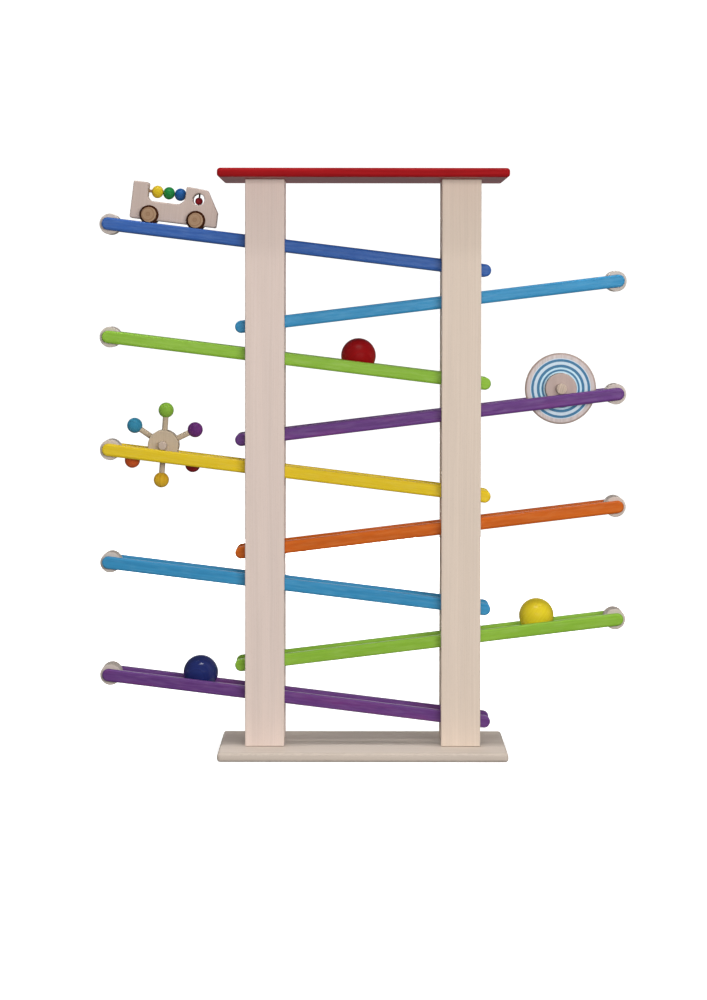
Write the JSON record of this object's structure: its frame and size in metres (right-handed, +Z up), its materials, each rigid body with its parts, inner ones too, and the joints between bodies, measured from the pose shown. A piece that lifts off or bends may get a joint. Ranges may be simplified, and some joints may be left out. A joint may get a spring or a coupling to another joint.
{
  "type": "wooden zigzag ball run",
  "caption": "Free-standing wooden toy tower whose sloping rail tracks zigzag down between two boards, with loose balls, a rolling disc, a spinner and a flanged truck.",
  "frame": {"origin": "middle of the underside of the base board", "axes": "+Z up through the tower, +X to the right seen from the front, +Y to the rear"},
  "size_m": [0.7522, 0.24, 0.834],
  "materials": {
    "natural_wood": "sanded beech, clear matt oil",
    "wheel_wood": "end grain, clear oil",
    "red_paint": "semi-gloss lacquer",
    "royal_blue_paint": "satin stain, grain faintly visible",
    "light_blue_paint": "satin stain, grain faintly visible",
    "green_paint": "satin stain, grain faintly visible",
    "violet_paint": "satin stain, grain faintly visible",
    "yellow_paint": "satin stain, grain faintly visible",
    "orange_paint": "satin stain, grain faintly visible",
    "ball_red_paint": "semi-gloss lacquer",
    "ball_yellow_paint": "semi-gloss lacquer",
    "ball_blue_paint": "semi-gloss lacquer",
    "purple_paint": "semi-gloss lacquer",
    "dark_red_paint": "semi-gloss lacquer",
    "teal_paint": "semi-gloss lacquer",
    "bead_green_paint": "semi-gloss lacquer",
    "disc_paint": "painted rings, blue and white, over bare wood",
    "pin_metal": "darkened steel wire"
  },
  "bodies": {
    "tower": {"base_board": "natural_wood", "top_board": "red_paint", "post_front_left": "natural_wood", "post_front_right": "natural_wood", "post_rear_left": "natural_wood", "post_rear_right": "natural_wood", "rail_1_front": "royal_blue_paint", "rail_1_rear": "royal_blue_paint", "end_block_1": "natural_wood", "rail_2_front": "light_blue_paint", "rail_2_rear": "light_blue_paint", "end_block_2": "natural_wood", "rail_3_front": "green_paint", "rail_3_rear": "green_paint", "end_block_3": "natural_wood", "rail_4_front": "violet_paint", "rail_4_rear": "violet_paint", "end_block_4": "natural_wood", "rail_5_front": "yellow_paint", "rail_5_rear": "yellow_paint", "end_block_5": "natural_wood", "rail_6_front": "orange_paint", "rail_6_rear": "orange_paint", "end_block_6": "natural_wood", "rail_7_front": "light_blue_paint", "rail_7_rear": "light_blue_paint", "end_block_7": "natural_wood", "rail_8_front": "green_paint", "rail_8_rear": "green_paint", "end_block_8": "natural_wood", "rail_9_front": "violet_paint", "rail_9_rear": "violet_paint", "end_block_9": "natural_wood"},
    "ball_red": {"ball_red": "ball_red_paint"},
    "ball_yellow": {"ball_yellow": "ball_yellow_paint"},
    "ball_blue": {"ball_blue": "ball_blue_paint"},
    "disc_carriage": {"disc_axle": "natural_wood"},
    "disc": {"disc_plate": "disc_paint", "disc_hub": "natural_wood"},
    "spinner_carriage": {"spinner_axle": "natural_wood"},
    "spinner": {"spinner_hub": "natural_wood", "spinner_arm_green": "green_paint", "spinner_arm_purple": "purple_paint", "spinner_arm_dark_red": "dark_red_paint", "spinner_arm_yellow": "ball_yellow_paint", "spinner_arm_orange": "orange_paint", "spinner_arm_teal": "teal_paint"},
    "truck": {"truck_body": "natural_wood", "bead_rod": "natural_wood", "driver_pin": "pin_metal"},
    "truck_rear_wheels": {"truck_rear_axle": "natural_wood", "truck_rear_wheel_near": "wheel_wood", "truck_rear_wheel_far": "wheel_wood"},
    "truck_front_wheels": {"truck_front_axle": "natural_wood", "truck_front_wheel_near": "wheel_wood", "truck_front_wheel_far": "wheel_wood"},
    "bead_blue": {"bead_blue": "royal_blue_paint"},
    "bead_green": {"bead_green": "bead_green_paint"},
    "bead_yellow": {"bead_yellow": "ball_yellow_paint"},
    "driver_head": {"driver_head": "dark_red_paint"}
  },
  "joints": [
    {"name": "ball_red_run", "type": "slide", "parent": "tower", "child": "ball_red", "axis": [0.9925, 0, -0.1219], "range_m": [-0.3193, 0.1797]},
    {"name": "ball_yellow_run", "type": "slide", "parent": "tower", "child": "ball_yellow", "axis": [-0.9925, 0, -0.1219], "range_m": [-0.074, 0.425]},
    {"name": "ball_blue_run", "type": "slide", "parent": "tower", "child": "ball_blue", "axis": [0.9925, 0, -0.1219], "range_m": [-0.0911, 0.4079]},
    {"name": "disc_roll", "type": "slide", "parent": "tower", "child": "disc_carriage", "axis": [-0.9925, 0, -0.1219], "range_m": [-0.0124, 0.4569]},
    {"name": "disc_spin", "type": "hinge", "parent": "disc_carriage", "child": "disc", "pos_m": [0.2837, 0, 0.52286], "axis": [0, -1, 0], "range_deg": [-94.7, 3490.4]},
    {"name": "spinner_roll", "type": "slide", "parent": "tower", "child": "spinner_carriage", "axis": [0.9925, 0, -0.1219], "range_m": [0, 0.4592]},
    {"name": "spinner_spin", "type": "hinge", "parent": "spinner_carriage", "child": "spinner", "pos_m": [-0.2862, 0, 0.44096], "axis": [0, 1, 0], "range_deg": [0, 4385]},
    {"name": "truck_roll", "type": "slide", "parent": "tower", "child": "truck", "axis": [0.9925, 0, -0.1219], "range_m": [-0.016, 0.4103]},
    {"name": "truck_rear_wheels_spin", "type": "hinge", "parent": "truck", "child": "truck_rear_wheels", "pos_m": [-0.30575, 0, 0.77079], "axis": [0, 1, 0], "range_deg": [-88, 2219]},
    {"name": "truck_front_wheels_spin", "type": "hinge", "parent": "truck", "child": "truck_front_wheels", "pos_m": [-0.23905, 0, 0.7626], "axis": [0, 1, 0], "range_deg": [-88, 2219]},
    {"name": "bead_blue_slide", "type": "slide", "parent": "truck", "child": "bead_blue", "axis": [-0.9925, 0, 0.1219], "range_m": [0, 0.0044]},
    {"name": "bead_green_slide", "type": "slide", "parent": "truck", "child": "bead_green", "axis": [-0.9925, 0, 0.1219], "range_m": [0, 0.0044]},
    {"name": "bead_yellow_slide", "type": "slide", "parent": "truck", "child": "bead_yellow", "axis": [-0.9925, 0, 0.1219], "range_m": [0, 0.0044]},
    {"name": "driver_turn", "type": "hinge", "parent": "truck", "child": "driver_head", "pos_m": [-0.23542, 0, 0.79057], "axis": [0.1219, 0, 0.9925], "continuous": true}
  ],
  "couplings": [
    {"joint": "disc_roll", "follows": "disc_spin", "m_per_rad": 0.0075},
    {"joint": "spinner_roll", "follows": "spinner_spin", "m_per_rad": 0.006},
    {"joint": "truck_rear_wheels_spin", "follows": "truck_roll", "rad_per_m": 94.34},
    {"joint": "truck_front_wheels_spin", "follows": "truck_roll", "rad_per_m": 94.34},
    {"joint": "bead_green_slide", "follows": "bead_blue_slide", "ratio": 1},
    {"joint": "bead_yellow_slide", "follows": "bead_blue_slide", "ratio": 1}
  ]
}
